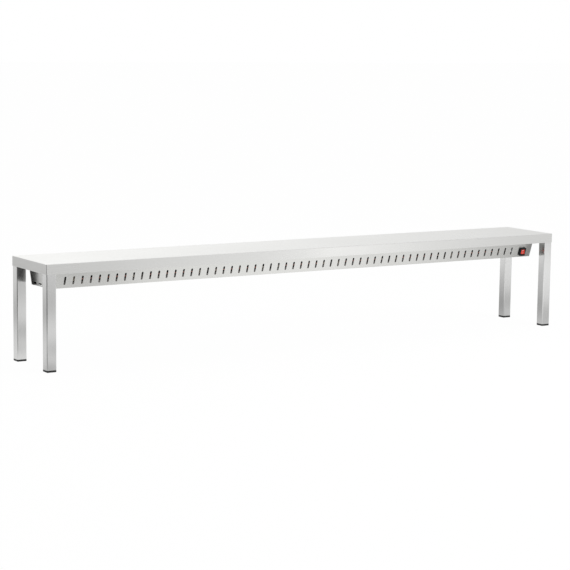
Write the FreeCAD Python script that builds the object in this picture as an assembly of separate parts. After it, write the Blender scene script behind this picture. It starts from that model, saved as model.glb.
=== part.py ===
"""Food warming gantry: a folded steel shelf on four square legs, with a lamp housing hung under it.

Millimetres. +X runs along the length, the front faces -Y and +Z is up. The origin lies on the counter,
under the middle of the shelf.
"""
import FreeCAD
import Part
import math
import os

# Overall
overall_length = 2500.0
overall_depth = 320.0
overall_height = 420.0
overrun = 5.0               # how far a cutting tool passes through
edge_reach = 0.05           # within which an edge counts as lying at a height or a corner
weld_gap = 0.1              # between pieces that are welded or clamped together
thread_gap = 0.05           # between a thread and what it screws into, drawn as plain cylinders
rest_gap = 0.2              # between a round piece and the round piece it leans on

# Heads of the screws
recess_reach_share = 0.6    # of the head's radius
recess_width_share = 0.3    # of the head's radius
recess_depth_share = 0.6    # of the head's height
head_dome_share = 0.5       # of the head's height

# Shelf
shelf_sheet = 1.2
rim_height = 40.0
shelf_edge_radius = 2.5     # outside radius of the folds and of the welded corners

# Legs
leg_side = 40.0
leg_wall = 1.5
leg_corner_radius = 3.0
leg_gap = 0.3               # between a leg and the inside of the rim
leg_plate_thickness = 3.0
leg_plate_reach = 80.0      # from the leg's outer face to the end of each arm
leg_plate_arm_width = 24.0  # of the arm that runs along the shelf
leg_plate_inset = 1.5       # of the plate's outer edges from the leg's outer faces

# Foot caps
foot_cap_height = 8.0
foot_cap_bevel = 1.0
foot_plug_depth = 18.0
foot_plug_wall = 2.5
foot_plug_gap = 0.2

# Fixings of the legs
leg_stud_radius = 3.0
leg_stud_length = 16.0
leg_nut_height = 6.0
leg_nut_flats = 10.0
leg_nut_flange_radius = 7.1
leg_nut_flange_height = 1.2

# Lamp housing
housing_left_gap = 47.0     # from the left end of the shelf to the housing
housing_right_gap = 64.0    # from the housing to the right end of the shelf
housing_side_gap = 45.0     # from the shelf's front and rear to the tops of the walls
housing_wall_lean = 36.0    # of each wall, inward from its top to its lower edge
housing_drop = 68.0         # from the rim's lower edge to the housing's
housing_sheet = 1.0
housing_flange = 13.0       # outward, under the shelf
housing_lip = 20.0          # inward, along the lower edge
bend_radius = 1.0           # inside radius of the folds
end_plate_flange = 12.0
end_plate_bend = 2.5        # outside radius of the end plates' folds

# Ventilation slots
slot_count = 60
slot_width = 8.0
slot_length = 35.0
slot_row_margin = 64.0      # from the housing's left end to the first slot
slot_switch_distance = 62.5  # from the last slot to the switch
slot_rise = 30.5            # from the housing's lower edge to the slots' centres
end_slot_count = 3
end_slot_margin = 14.0      # from the walls' lower edges to the outer slots
end_slot_gap = 20.0
end_slot_rise = 10.0

# Wiring tray
tray_sheet = 1.0
tray_height = 63.0          # from the housing's lower edge to the tray's upper face
tray_margin = 15.0          # from each end of the housing

# Fixings of the housing
housing_stud_count = 7
housing_stud_margin = 60.0  # from each end of the housing to the first stud
housing_stud_radius = 2.5
housing_stud_length = 12.0
housing_stud_inset = 6.5    # from the flange's edge
housing_nut_height = 4.0
housing_nut_flats = 8.0
clearance_hole_gap = 0.25

# Lamps
lamp_count = 7
lamp_rise = 24.0            # from the housing's lower edge to the lamps' axis
tube_radius = 5.0
tube_wall = 1.0
filament_radius = 0.8
lamp_cap_wall = 2.0
lamp_cap_length = 18.0
lamp_cap_grip = 6.0         # length of tube held in each cap
lamp_cap_fit = 0.05

# Reflector
reflector_sheet = 0.7
reflector_margin = 42.0     # past each end of the row of lamps
reflector_mouth_inset = 17.0  # from the walls' lower edges
reflector_flare = 22.0      # of each side, from the crown out to the mouth
reflector_drop = 29.0

# Sockets, their brackets and fixings
socket_wall = 1.85
socket_length = 18.0
socket_pocket_gap = 0.15
socket_pocket_depth = 6.0
contact_radius = 2.5
contact_length = 2.0
bracket_sheet = 1.2
bracket_width = 16.0
bracket_foot = 14.0
bracket_tail = 10.0         # below the lamps' axis
bracket_gap = 7.6           # between the feet of two neighbouring lamps' brackets
socket_screw_radius = 1.5
socket_screw_depth = 6.0
socket_screw_head_radius = 2.8
socket_screw_head_height = 2.0
bracket_screw_radius = 2.0
bracket_screw_head_radius = 4.0
bracket_screw_head_height = 2.6
bracket_screw_end = 8.0     # above the tray
bracket_nut_flats = 7.0
bracket_nut_height = 3.2

# Wiring over the tray
bush_lead_gap = 0.3
bush_wall = 2.2
bush_flange = 1.5
bush_flange_height = 1.5
bush_tail = 2.0
lead_radius = 1.5
lead_bend_radius = 7.0
bus_radius = 2.0
bus_spread = 12.0           # of each conductor from the middle
bus_rise = 11.0             # above the tray
insulator_width = 36.0
insulator_height = 17.0
insulator_thickness = 8.0
bus_left_tail = 10.0        # past the first post

# Switch
switch_end_distance = 50.0  # from the housing's right end to the switch's centre
switch_rise = 25.5          # from the housing's lower edge to the switch's centre
bezel_side_margin = 2.4     # past the case at each side
bezel_end_margin = 4.9      # past the case above and below
bezel_thickness = 8.0
bezel_corner_radius = 3.0
case_side_wall = 1.9        # beside the rocker's pocket
case_end_wall = 1.7         # above and below the pocket
case_depth = 24.0
case_gap = 0.2
rocker_width = 21.0
rocker_radius = 11.8
rocker_gap = 0.3
rocker_pivot_out = 1.0      # of the pivot in front of the wall
rocker_crest = 5.5          # of the rocker's middle over its pivot
rocker_tilt = 10.0          # degrees from level, at rest and at the other end of its travel
rocker_skirt = 5.0          # below the pivot
rocker_sweep_depth = 8.0    # of the pocket below the pivot
rocker_edge_radius = 0.6
pivot_radius = 1.5
pivot_length = 1.5
mark_offset = 5.5
mark_height = 0.2
ring_radius = 2.6
ring_line = 0.8
bar_length = 5.0
bar_width = 1.1
blade_width = 6.3
blade_thickness = 0.8
blade_length = 10.0
blade_spread_across = 7.0
blade_spread_along = 7.0

# Switch cover
cover_sheet = 0.8
cover_side_gap = 5.3        # between the switch's case and the cover's sides
cover_wire_gap = 7.5        # between the wires and the cover's back
cover_rise = 8.0            # above the housing's lower edge
tray_hole_depth = 20.0

# Terminal block and the wires to the switch
block_length = 30.0
block_depth = 40.0
block_height = 20.0
block_ways = 3
block_groove_width = 2.0
block_groove_depth = 6.0
block_hole_gap = 6.0        # between the block and the tray's opening over the switch
block_screw_gap = 7.8       # between the block and the last bracket's screw
switch_wire_radius = 1.5
switch_wire_run = 13.0      # straight on from the blade
switch_wire_bend = 6.0
switch_wire_stub = 10.0     # straight into the block
switch_wire_rise = 8.0      # of the lower wire above the tray
switch_wire_step = 6.0      # up to the other wire
switch_wire_entry = 14.0    # of the lower wire in front of the block's middle
switch_wire_entry_step = 8.0

# Earth stud
earth_end_distance = 60.0
earth_offset = 60.0
earth_radius = 2.5
earth_length = 18.0
earth_nut_flats = 8.0
earth_nut_height = 4.0
earth_nut_count = 2
earth_nut_spread = 5.5

# Lamp guard
guard_end_gap = 4.0         # between the guard and each end plate's flange
guard_rod_radius = 1.5
guard_rod_count = 9
guard_rod_inset = 6.0       # of the outer rods from the walls' lower edges
guard_wire_radius = 1.25
guard_wire_count = 48
guard_wire_tail = 1.5       # past the outer rods
guard_end_margin = 4.0
clip_width = 12.0
clip_sheet = 1.0
clip_foot = 9.5
clip_cover = 4.5
guard_clip_gap_indexes = (5, 16, 30, 41)
guard_screw_radius = 1.5
guard_screw_head_radius = 2.8
guard_screw_head_height = 1.8
guard_screw_inset = 8.0     # from the outer rods
guard_screw_end = 5.0
guard_nut_flats = 5.5
guard_nut_height = 2.4

# Cable gland
gland_offset = 40.0         # behind the middle
gland_rise = 38.0           # above the housing's lower edge
gland_thread_radius = 10.0
gland_wall = 4.0
gland_hex_height = 6.0
gland_inner_length = 9.0
gland_outer_length = 8.0
gland_locknut_flats = 26.0
gland_locknut_height = 5.0
gland_cap_wall = 2.0
gland_cap_length = 20.0
gland_cap_mouth_radius = 5.5
gland_cap_mouth_length = 3.0
gland_cap_gap = 0.3
seal_side_gap = 1.0         # between the seal and the thread's outside
seal_bore_radius = 4.5

# Grommet for the supply cord in the tray
grommet_end_distance = 35.0
grommet_radius = 9.0
grommet_flange_radius = 12.0
grommet_bore_radius = 5.0
grommet_flange_height = 1.5

# Worked out from the values above
shelf_underside = overall_height - shelf_sheet
rim_bottom = overall_height - rim_height
leg_outer_x = overall_length / 2 - shelf_sheet - leg_gap
leg_outer_y = overall_depth / 2 - shelf_sheet - leg_gap
leg_top = shelf_underside - leg_plate_thickness
housing_left = -overall_length / 2 + housing_left_gap
housing_right = overall_length / 2 - housing_right_gap
housing_bottom = rim_bottom - housing_drop
housing_top = shelf_underside - tray_sheet
housing_top_depth = overall_depth - 2 * housing_side_gap
housing_bottom_depth = housing_top_depth - 2 * housing_wall_lean
housing_slope = math.atan2(housing_wall_lean, shelf_underside - housing_bottom)
housing_stud_pitch = (housing_right - housing_left - 2 * housing_stud_margin) / (housing_stud_count - 1)
flange_edge = housing_top_depth / 2 + housing_flange
lip_top = housing_bottom + housing_sheet
tray_top = housing_bottom + tray_height
tray_bottom = tray_top - tray_sheet
crown_bottom = tray_bottom - reflector_sheet
reflector_mouth = housing_bottom_depth / 2 - reflector_mouth_inset
end_slot_span = housing_bottom_depth - 2 * end_slot_margin
end_slot_length = (end_slot_span - (end_slot_count - 1) * end_slot_gap) / end_slot_count
end_slot_pitch = end_slot_length + end_slot_gap

case_width = rocker_width + 2 * (rocker_gap + case_side_wall)
case_height = 2 * (rocker_radius + rocker_gap + case_end_wall)
bezel_width = case_width + 2 * bezel_side_margin
bezel_height = case_height + 2 * bezel_end_margin
cover_inside = case_width / 2 + cover_side_gap
switch_x = housing_right - switch_end_distance
switch_along = switch_rise / math.cos(housing_slope)
first_slot_x = housing_left + slot_row_margin
slot_pitch = (switch_x - slot_switch_distance - first_slot_x) / (slot_count - 1)

block_right = switch_x - cover_inside - block_hole_gap
block_left = block_right - block_length
holder_length = (lamp_cap_length - lamp_cap_grip + contact_length - socket_pocket_depth + socket_length
                 + bracket_sheet + bracket_foot)
lamp_gap = 2 * holder_length + bracket_gap
lamp_row_end = block_left - block_screw_gap - holder_length + bracket_foot / 2
tube_length = (2 * lamp_row_end - (lamp_count - 1) * lamp_gap) / lamp_count
lamp_pitch = tube_length + lamp_gap
lamp_height = housing_bottom + lamp_rise
lamp_cap_radius = tube_radius + lamp_cap_wall
socket_pocket_radius = lamp_cap_radius + socket_pocket_gap
socket_half = socket_pocket_radius + socket_wall
cap_start = tube_length / 2 - lamp_cap_grip
cap_end = cap_start + lamp_cap_length
socket_floor = cap_end + contact_length
socket_start = socket_floor - socket_pocket_depth
socket_end = socket_start + socket_length
lead_place = (socket_floor + socket_end) / 2
bracket_screw_place = socket_end + bracket_sheet + bracket_foot / 2
bush_bore_radius = lead_radius + bush_lead_gap
bush_radius = bush_bore_radius + bush_wall
bush_flange_radius = bush_radius + bush_flange
bus_height = tray_top + bus_rise

guard_left = housing_left + end_plate_flange + guard_end_gap
guard_right = housing_right - end_plate_flange - guard_end_gap
guard_rod_spread = housing_bottom_depth / 2 - guard_rod_inset
guard_screw_offset = guard_rod_spread - guard_screw_inset
gland_height = housing_bottom + gland_rise
gland_bore_radius = gland_thread_radius - gland_wall
gland_cap_radius = gland_thread_radius + gland_cap_wall
gland_hex_flats = 2 * gland_cap_radius
seal_radius = gland_thread_radius - seal_side_gap

SIDES = (-1, 1)
UP = FreeCAD.Vector(0, 0, 1)
ALONG = FreeCAD.Vector(1, 0, 0)
BACK = FreeCAD.Vector(0, 1, 0)
NOWHERE = FreeCAD.Vector(0, 0, 0)


# Small helpers

def vector(x, y, z):
    return FreeCAD.Vector(x, y, z)


def box(x0, x1, y0, y1, z0, z1):
    return Part.makeBox(x1 - x0, y1 - y0, z1 - z0, vector(x0, y0, z0))


def rod(start, direction, radius, length):
    return Part.makeCylinder(radius, length, start, direction)


def moved(shape, x=0.0, y=0.0, z=0.0):
    copy = shape.copy()
    copy.translate(vector(x, y, z))
    return copy


def upright_edges(solid):
    """Edges of a box or prism that run straight up."""
    return [edge for edge in solid.Edges if is_parallel(edge, UP)]


def is_parallel(edge, direction):
    if not isinstance(edge.Curve, Part.Line):
        return False
    return edge.Curve.Direction.cross(direction).Length < Part.Precision.angular()


def prism_along(points, x0, x1):
    """Prism over an outline of (y, z) points, from x0 to x1."""
    corners = [vector(x0, y, z) for y, z in points]
    face = Part.Face(Part.makePolygon(corners + corners[:1]))
    return face.extrude(vector(x1 - x0, 0, 0))


def level_edges(solid, height):
    """Edges of a solid that lie at one height."""
    return [edge for edge in solid.Edges if all(abs(v.Z - height) < edge_reach for v in edge.Vertexes)]


def inner_line(points, distance):
    """The (y, z) line that runs at a distance to the left of an open line, with mitred corners."""
    normals = []
    for (y0, z0), (y1, z1) in zip(points, points[1:]):
        length = math.hypot(y1 - y0, z1 - z0)
        normals.append((-(z1 - z0) / length, (y1 - y0) / length))
    shifted = []
    for index, (y, z) in enumerate(points):
        before = normals[max(index - 1, 0)]
        after = normals[min(index, len(normals) - 1)]
        spread = 1 + before[0] * after[0] + before[1] * after[1]
        shifted.append((y + distance * (before[0] + after[0]) / spread,
                        z + distance * (before[1] + after[1]) / spread))
    return shifted


def folded_sheet(points, thickness, x0, x1):
    """A sheet folded along X: the open (y, z) line is one face, the thickness lies to its left."""
    other = inner_line(points, thickness)
    solid = prism_along(points + other[::-1], x0, x1)
    for index in range(1, len(points) - 1):
        (ya, za), (yb, zb), (yc, zc) = points[index - 1:index + 2]
        turns_left = (yb - ya) * (zc - zb) - (zb - za) * (yc - yb) > 0
        inside, outside = (other, points) if turns_left else (points, other)
        solid = round_fold(solid, inside[index], bend_radius)
        solid = round_fold(solid, outside[index], bend_radius + thickness)
    return solid


def round_fold(solid, corner, radius):
    """Rounds the edge along X that passes through a (y, z) corner."""
    edges = [edge for edge in solid.Edges if is_parallel(edge, ALONG)
             and math.hypot(edge.Vertexes[0].Y - corner[0], edge.Vertexes[0].Z - corner[1]) < edge_reach]
    return solid.makeFillet(radius, edges)


def oblong(length, width, depth):
    """Prism with round ends: long side along X, centred on the origin, depth along Z."""
    half = (length - width) / 2
    radius = width / 2
    low = -depth / 2
    lower = Part.LineSegment(vector(-half, -radius, low), vector(half, -radius, low))
    right = Part.Arc(vector(half, -radius, low), vector(half + radius, 0, low), vector(half, radius, low))
    upper = Part.LineSegment(vector(half, radius, low), vector(-half, radius, low))
    left = Part.Arc(vector(-half, radius, low), vector(-half - radius, 0, low), vector(-half, -radius, low))
    wire = Part.Wire([curve.toShape() for curve in (lower, right, upper, left)])
    return Part.Face(wire).extrude(vector(0, 0, depth))


def hexagon(flats, height):
    """Six-sided prism on the origin, along Z."""
    reach = flats / math.sqrt(3)
    corners = [vector(reach * math.cos(math.radians(60 * k)), reach * math.sin(math.radians(60 * k)), 0)
               for k in range(7)]
    return Part.Face(Part.makePolygon(corners)).extrude(vector(0, 0, height))


def nut(flats, height, thread_radius):
    bore = rod(vector(0, 0, -overrun), UP, thread_radius + thread_gap, height + 2 * overrun)
    return hexagon(flats, height).cut(bore)


def screw(shank_radius, shank_length, head_radius, head_height):
    """Pan-head screw along Z with a cross recess: the head lies below the origin, the shank above it."""
    head = rod(NOWHERE, -UP, head_radius, head_height)
    head = head.makeFillet(head_dome_share * head_height, level_edges(head, -head_height))
    reach = recess_reach_share * head_radius
    half_width = recess_width_share * head_radius / 2
    floor = -head_height * (1 - recess_depth_share)
    for half_x, half_y in ((reach, half_width), (half_width, reach)):
        head = head.cut(box(-half_x, half_x, -half_y, half_y, -head_height - overrun, floor))
    return head.fuse(rod(NOWHERE, UP, shank_radius, shank_length)).removeSplitter()


def bent_wire(points, radius, bend):
    """Round wire through the points, with an arc of the bend radius at each inner point."""
    edges = []
    start = points[0]
    for before, corner, after in zip(points, points[1:], points[2:]):
        inward = (before - corner).normalize()
        onward = (after - corner).normalize()
        half_angle = inward.getAngle(onward) / 2
        reach = bend / math.tan(half_angle)
        first = corner + inward * reach
        last = corner + onward * reach
        centre_way = (inward + onward).normalize()
        middle = corner + centre_way * (bend / math.sin(half_angle) - bend)
        edges.append(Part.LineSegment(start, first).toShape())
        edges.append(Part.Arc(first, middle, last).toShape())
        start = last
    edges.append(Part.LineSegment(start, points[-1]).toShape())
    section = Part.Wire([Part.Circle(points[0], points[1] - points[0], radius).toShape()])
    return Part.Wire(edges).makePipeShell([section], True, False)


def group(solids):
    return Part.makeCompound(solids)


# The housing's sloping walls

def half_depth(z):
    """Half the depth of the housing over its outer faces, at height z."""
    share = (z - housing_bottom) / (shelf_underside - housing_bottom)
    return (housing_bottom_depth + (housing_top_depth - housing_bottom_depth) * share) / 2


def inner_half(z, depth):
    """The same for a face that lies a depth inside the outer face, measured square to it."""
    return half_depth(z) - depth / math.cos(housing_slope)


def on_front_wall(x, along, out):
    """Point at x, a distance up the front wall's outer face and a distance out from it."""
    sine = math.sin(housing_slope)
    cosine = math.cos(housing_slope)
    return vector(x, -housing_bottom_depth / 2 - along * sine - out * cosine,
                  housing_bottom + along * cosine - out * sine)


def stand_on_front_wall(shape, x, along):
    """Places a shape drawn with X along the wall, Y up the wall and Z out of it."""
    copy = shape.copy()
    turn = FreeCAD.Rotation(ALONG, 90 + math.degrees(housing_slope))
    copy.Placement = FreeCAD.Placement(on_front_wall(x, along, 0), turn).multiply(copy.Placement)
    return copy


# Shelf, legs and feet

def top_panel():
    outer = box(-overall_length / 2, overall_length / 2, -overall_depth / 2, overall_depth / 2,
                rim_bottom, overall_height)
    outer = outer.makeFillet(shelf_edge_radius, upright_edges(outer) + level_edges(outer, overall_height))
    inner = box(-overall_length / 2 + shelf_sheet, overall_length / 2 - shelf_sheet,
                -overall_depth / 2 + shelf_sheet, overall_depth / 2 - shelf_sheet,
                rim_bottom - overrun, shelf_underside)
    inner = inner.makeFillet(shelf_edge_radius - shelf_sheet,
                             upright_edges(inner) + level_edges(inner, shelf_underside))
    return outer.cut(inner)


def leg(side_x, side_y):
    outer = corner_box(side_x, side_y, 0, leg_side, foot_cap_height, leg_top)
    outer = outer.makeFillet(leg_corner_radius, upright_edges(outer))
    inner = corner_box(side_x, side_y, leg_wall, leg_side - leg_wall,
                       foot_cap_height - overrun, leg_top + overrun)
    inner = inner.makeFillet(leg_corner_radius - leg_wall, upright_edges(inner))
    return outer.cut(inner)


def corner_box(side_x, side_y, near, far, z0, z1):
    """Upright box in a corner of the shelf, between two distances from the leg's outer faces."""
    xs = sorted((side_x * (leg_outer_x - near), side_x * (leg_outer_x - far)))
    ys = sorted((side_y * (leg_outer_y - near), side_y * (leg_outer_y - far)))
    return box(xs[0], xs[1], ys[0], ys[1], z0, z1)


def foot_cap(side_x, side_y):
    flange = corner_box(side_x, side_y, 0, leg_side, 0, foot_cap_height)
    flange = flange.makeFillet(leg_corner_radius, upright_edges(flange))
    flange = flange.makeChamfer(foot_cap_bevel, level_edges(flange, 0))
    near = leg_wall + foot_plug_gap
    plug = corner_box(side_x, side_y, near, leg_side - near, foot_cap_height,
                      foot_cap_height + foot_plug_depth)
    hollow_near = near + foot_plug_wall
    hollow = corner_box(side_x, side_y, hollow_near, leg_side - hollow_near, foot_cap_height,
                        foot_cap_height + foot_plug_depth + overrun)
    plug = plug.makeFillet(leg_corner_radius - leg_wall, upright_edges(plug))
    return flange.fuse(plug.cut(hollow)).removeSplitter()


def leg_stud_places():
    """Two fixings at each leg: one in the arm along the shelf, one in the arm across it."""
    arm = (leg_side + leg_plate_reach) / 2
    places = []
    for side_x in SIDES:
        for side_y in SIDES:
            for reach_x, reach_y in ((arm, leg_plate_arm_width / 2), (leg_side / 2, arm)):
                places.append((side_x * (leg_outer_x - reach_x), side_y * (leg_outer_y - reach_y)))
    return places


def leg_plates():
    plates = []
    for side_x in SIDES:
        for side_y in SIDES:
            along = corner_arm(side_x, side_y, leg_plate_reach, leg_plate_arm_width)
            across = corner_arm(side_x, side_y, leg_side, leg_plate_reach)
            plate = along.fuse(across).removeSplitter()
            for x, y in leg_stud_places():
                plate = plate.cut(rod(vector(x, y, leg_top - overrun), UP,
                                      leg_stud_radius + clearance_hole_gap,
                                      leg_plate_thickness + 2 * overrun))
            plates.append(plate)
    return group(plates)


def corner_arm(side_x, side_y, reach_x, reach_y):
    xs = sorted((side_x * (leg_outer_x - leg_plate_inset), side_x * (leg_outer_x - reach_x)))
    ys = sorted((side_y * (leg_outer_y - leg_plate_inset), side_y * (leg_outer_y - reach_y)))
    return box(xs[0], xs[1], ys[0], ys[1], leg_top, shelf_underside)


def leg_studs():
    return group([rod(vector(x, y, shelf_underside), -UP, leg_stud_radius, leg_stud_length)
                  for x, y in leg_stud_places()])


def leg_nuts():
    low = leg_top - leg_nut_height
    flange = rod(vector(0, 0, leg_nut_height - leg_nut_flange_height), UP, leg_nut_flange_radius,
                 leg_nut_flange_height)
    bore = rod(vector(0, 0, -overrun), UP, leg_stud_radius + thread_gap, leg_nut_height + 2 * overrun)
    flanged = hexagon(leg_nut_flats, leg_nut_height).fuse(flange).cut(bore)
    return group([moved(flanged, x, y, low) for x, y in leg_stud_places()])


# Housing

def slot_cutters():
    """Tools for one wall's row of slots, drawn on the front wall."""
    slot = oblong(slot_length, slot_width, 2 * overrun)
    slot.rotate(NOWHERE, UP, 90)
    along = slot_rise / math.cos(housing_slope)
    return [stand_on_front_wall(slot, first_slot_x + index * slot_pitch, along)
            for index in range(slot_count)]


def plain_wall():
    """The front wall without its switch: flange under the shelf, sloping face, lip along the lower edge."""
    line = [(-flange_edge, housing_top),
            (-inner_half(housing_top, housing_sheet), housing_top),
            (-inner_half(lip_top, housing_sheet), lip_top),
            (-half_depth(housing_bottom) + housing_lip, lip_top)]
    sheet = folded_sheet(line[::-1], housing_sheet, housing_left, housing_right)
    holes = [rod(vector(x, -stud_line(), housing_top - overrun), UP,
                 housing_stud_radius + clearance_hole_gap, 2 * overrun) for x in housing_stud_xs()]
    screw_holes = [rod(vector(x, -guard_screw_offset, housing_bottom - overrun), UP,
                       guard_screw_radius + clearance_hole_gap, 2 * overrun) for x in guard_clip_xs()]
    return sheet.cut(group(slot_cutters() + holes + screw_holes))


def stud_line():
    return flange_edge - housing_stud_inset


def housing_stud_xs():
    return [housing_left + housing_stud_margin + index * housing_stud_pitch
            for index in range(housing_stud_count)]


def housing_front_wall(wall):
    width = case_width + 2 * case_gap
    height = case_height + 2 * case_gap
    opening = box(-width / 2, width / 2, -height / 2, height / 2, -overrun, overrun)
    return wall.cut(stand_on_front_wall(opening, switch_x, switch_along))


def housing_rear_wall(wall):
    return wall.mirror(NOWHERE, BACK)


def end_plate_outline(inset):
    """Outline of an end plate, drawn in from the walls by an inset."""
    depth = housing_sheet + weld_gap + inset
    low = lip_top + weld_gap + inset
    high = shelf_underside - weld_gap - inset
    return [(-inner_half(low, depth), low), (inner_half(low, depth), low),
            (inner_half(high, depth), high), (-inner_half(high, depth), high)]


def end_plate():
    """The left end plate, with its outer face at zero: a shallow tray that opens to the right."""
    outer = prism_along(end_plate_outline(0), 0, end_plate_flange)
    outer = outer.makeFillet(end_plate_bend, [e for e in outer.Edges if is_parallel(e, ALONG)])
    inner = prism_along(end_plate_outline(housing_sheet), housing_sheet, end_plate_flange + overrun)
    inner = inner.makeFillet(end_plate_bend - housing_sheet,
                             [e for e in inner.Edges if is_parallel(e, ALONG)])
    slot = oblong(end_slot_length, slot_width, 2 * overrun)
    slot.rotate(NOWHERE, BACK, 90)
    slot.rotate(NOWHERE, ALONG, 90)
    height = housing_bottom + end_slot_rise
    first = -(end_slot_count - 1) / 2 * end_slot_pitch
    slots = [moved(slot, 0, first + index * end_slot_pitch, height) for index in range(end_slot_count)]
    return outer.cut(inner).cut(group(slots))


def housing_end_left():
    return moved(end_plate(), housing_left)


def housing_end_right():
    plate = moved(end_plate().mirror(NOWHERE, ALONG), housing_right)
    hole = rod(vector(housing_right - overrun, gland_offset, gland_height), ALONG,
               gland_thread_radius + clearance_hole_gap, 2 * overrun)
    return plate.cut(hole)


def wiring_tray():
    """Channel clamped between the shelf and the walls' flanges: its web closes the wiring space."""
    depth = housing_sheet + weld_gap + tray_sheet
    half = [(flange_edge, shelf_underside),
            (inner_half(shelf_underside, depth), shelf_underside),
            (inner_half(tray_top, depth), tray_top)]
    line = half + [(-y, z) for y, z in half[::-1]]
    sheet = folded_sheet(line, tray_sheet, housing_left + tray_margin, housing_right - tray_margin)
    cutters = []
    for side in SIDES:
        cutters += [rod(vector(x, side * stud_line(), housing_top - overrun), UP,
                        housing_stud_radius + clearance_hole_gap, 2 * overrun)
                    for x in housing_stud_xs()]
    cutters += bush_holes(tray_bottom)
    cutters += bracket_screw_holes(tray_bottom)
    cutters.append(tray_hole())
    cutters.append(rod(vector(housing_right - grommet_end_distance, gland_offset, tray_bottom - overrun), UP,
                       grommet_radius + clearance_hole_gap, 2 * overrun))
    return sheet.cut(group(cutters))


def tray_hole():
    """Opening over the switch cover, for the wires to the switch."""
    back = cover_back() - cover_sheet
    return box(switch_x - cover_inside, switch_x + cover_inside, back - tray_hole_depth, back,
               tray_bottom - overrun, tray_bottom + overrun)


def housing_studs():
    return group([rod(vector(x, side * stud_line(), shelf_underside), -UP, housing_stud_radius,
                      housing_stud_length) for x in housing_stud_xs() for side in SIDES])


def housing_nuts():
    low = housing_top - housing_sheet - housing_nut_height
    piece = nut(housing_nut_flats, housing_nut_height, housing_stud_radius)
    return group([moved(piece, x, side * stud_line(), low) for x in housing_stud_xs() for side in SIDES])


# Lamps

def lamp_xs():
    return [(index - (lamp_count - 1) / 2) * lamp_pitch for index in range(lamp_count)]


def lamp_ends():
    """Each lamp's centre with the side, left or right, of one of its ends."""
    return [(x, side) for x in lamp_xs() for side in SIDES]


def lamp_tube(x):
    start = vector(x - tube_length / 2, 0, lamp_height)
    outer = rod(start, ALONG, tube_radius, tube_length)
    bore = rod(start - ALONG * overrun, ALONG, tube_radius - tube_wall, tube_length + 2 * overrun)
    return outer.cut(bore)


def lamp_filaments():
    return group([rod(vector(x - tube_length / 2, 0, lamp_height), ALONG, filament_radius, tube_length)
                  for x in lamp_xs()])


def at_lamp_end(shape, x, side):
    """Places a shape drawn for a right-hand end, with its distance from the lamp's centre along X."""
    copy = shape if side > 0 else shape.mirror(NOWHERE, ALONG)
    return moved(copy, x, 0, lamp_height)


def lamp_caps():
    body = rod(vector(cap_start, 0, 0), ALONG, lamp_cap_radius, lamp_cap_length)
    bore = rod(vector(cap_start - overrun, 0, 0), ALONG, tube_radius + lamp_cap_fit,
               overrun + lamp_cap_grip)
    cap = body.cut(bore)
    return group([at_lamp_end(cap, x, side) for x, side in lamp_ends()])


def lamp_sockets():
    half = socket_half
    block = box(socket_start, socket_end, -half, half, -half, half)
    pocket = rod(vector(socket_start - overrun, 0, 0), ALONG, socket_pocket_radius,
                 overrun + socket_pocket_depth)
    hole = rod(vector(socket_end - socket_screw_depth, 0, 0), ALONG, socket_screw_radius + thread_gap,
               socket_screw_depth + overrun)
    socket = block.cut(pocket).cut(hole)
    return group([at_lamp_end(socket, x, side) for x, side in lamp_ends()])


def socket_contacts():
    button = rod(vector(cap_end, 0, 0), ALONG, contact_radius, contact_length)
    return group([at_lamp_end(button, x, side) for x, side in lamp_ends()])


def lamp_brackets():
    """Straps hung from the reflector's crown, each with a foot that points away from its lamp."""
    half = bracket_width / 2
    high = crown_bottom - lamp_height
    outer = socket_end + bracket_sheet
    strap = box(socket_end, outer, -half, half, -bracket_tail, high)
    foot = box(socket_end, outer + bracket_foot, -half, half, high - bracket_sheet, high)
    screw_hole = rod(vector(socket_end - overrun, 0, 0), ALONG, socket_screw_radius + clearance_hole_gap,
                     2 * overrun)
    foot_hole = rod(vector(bracket_screw_place, 0, high - overrun), UP,
                    bracket_screw_radius + clearance_hole_gap, 2 * overrun)
    bracket = strap.fuse(foot).removeSplitter().cut(screw_hole).cut(foot_hole)
    return group([at_lamp_end(bracket, x, side) for x, side in lamp_ends()])


def socket_screws():
    length = socket_screw_depth + bracket_sheet
    piece = screw(socket_screw_radius, length, socket_screw_head_radius, socket_screw_head_height)
    piece.rotate(NOWHERE, BACK, -90)
    piece = moved(piece, socket_end + bracket_sheet)
    return group([at_lamp_end(piece, x, side) for x, side in lamp_ends()])


def bracket_screw_xs():
    return [x + side * bracket_screw_place for x, side in lamp_ends()]


def bracket_screw_holes(z):
    return [rod(vector(x, 0, z - overrun), UP, bracket_screw_radius + clearance_hole_gap, 2 * overrun)
            for x in bracket_screw_xs()]


def bracket_screws():
    seat = crown_bottom - bracket_sheet
    piece = screw(bracket_screw_radius, tray_top + bracket_screw_end - seat, bracket_screw_head_radius,
                  bracket_screw_head_height)
    return group([moved(piece, x, 0, seat) for x in bracket_screw_xs()])


def bracket_nuts():
    piece = nut(bracket_nut_flats, bracket_nut_height, bracket_screw_radius)
    return group([moved(piece, x, 0, tray_top) for x in bracket_screw_xs()])


def reflector():
    mouth = reflector_mouth
    crown = mouth - reflector_flare
    low = tray_bottom - reflector_drop
    end = lamp_row_end + reflector_margin
    line = [(mouth, low), (crown, tray_bottom), (-crown, tray_bottom), (-mouth, low)]
    sheet = folded_sheet(line, reflector_sheet, -end, end)
    return sheet.cut(group(bush_holes(crown_bottom) + bracket_screw_holes(crown_bottom)))


# Wiring

def lead_xs(side):
    return [x + side * lead_place for x in lamp_xs()]


def bush_holes(z):
    return [rod(vector(x, 0, z - overrun), UP, bush_radius + weld_gap, 2 * overrun)
            for side in SIDES for x in lead_xs(side)]


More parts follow.
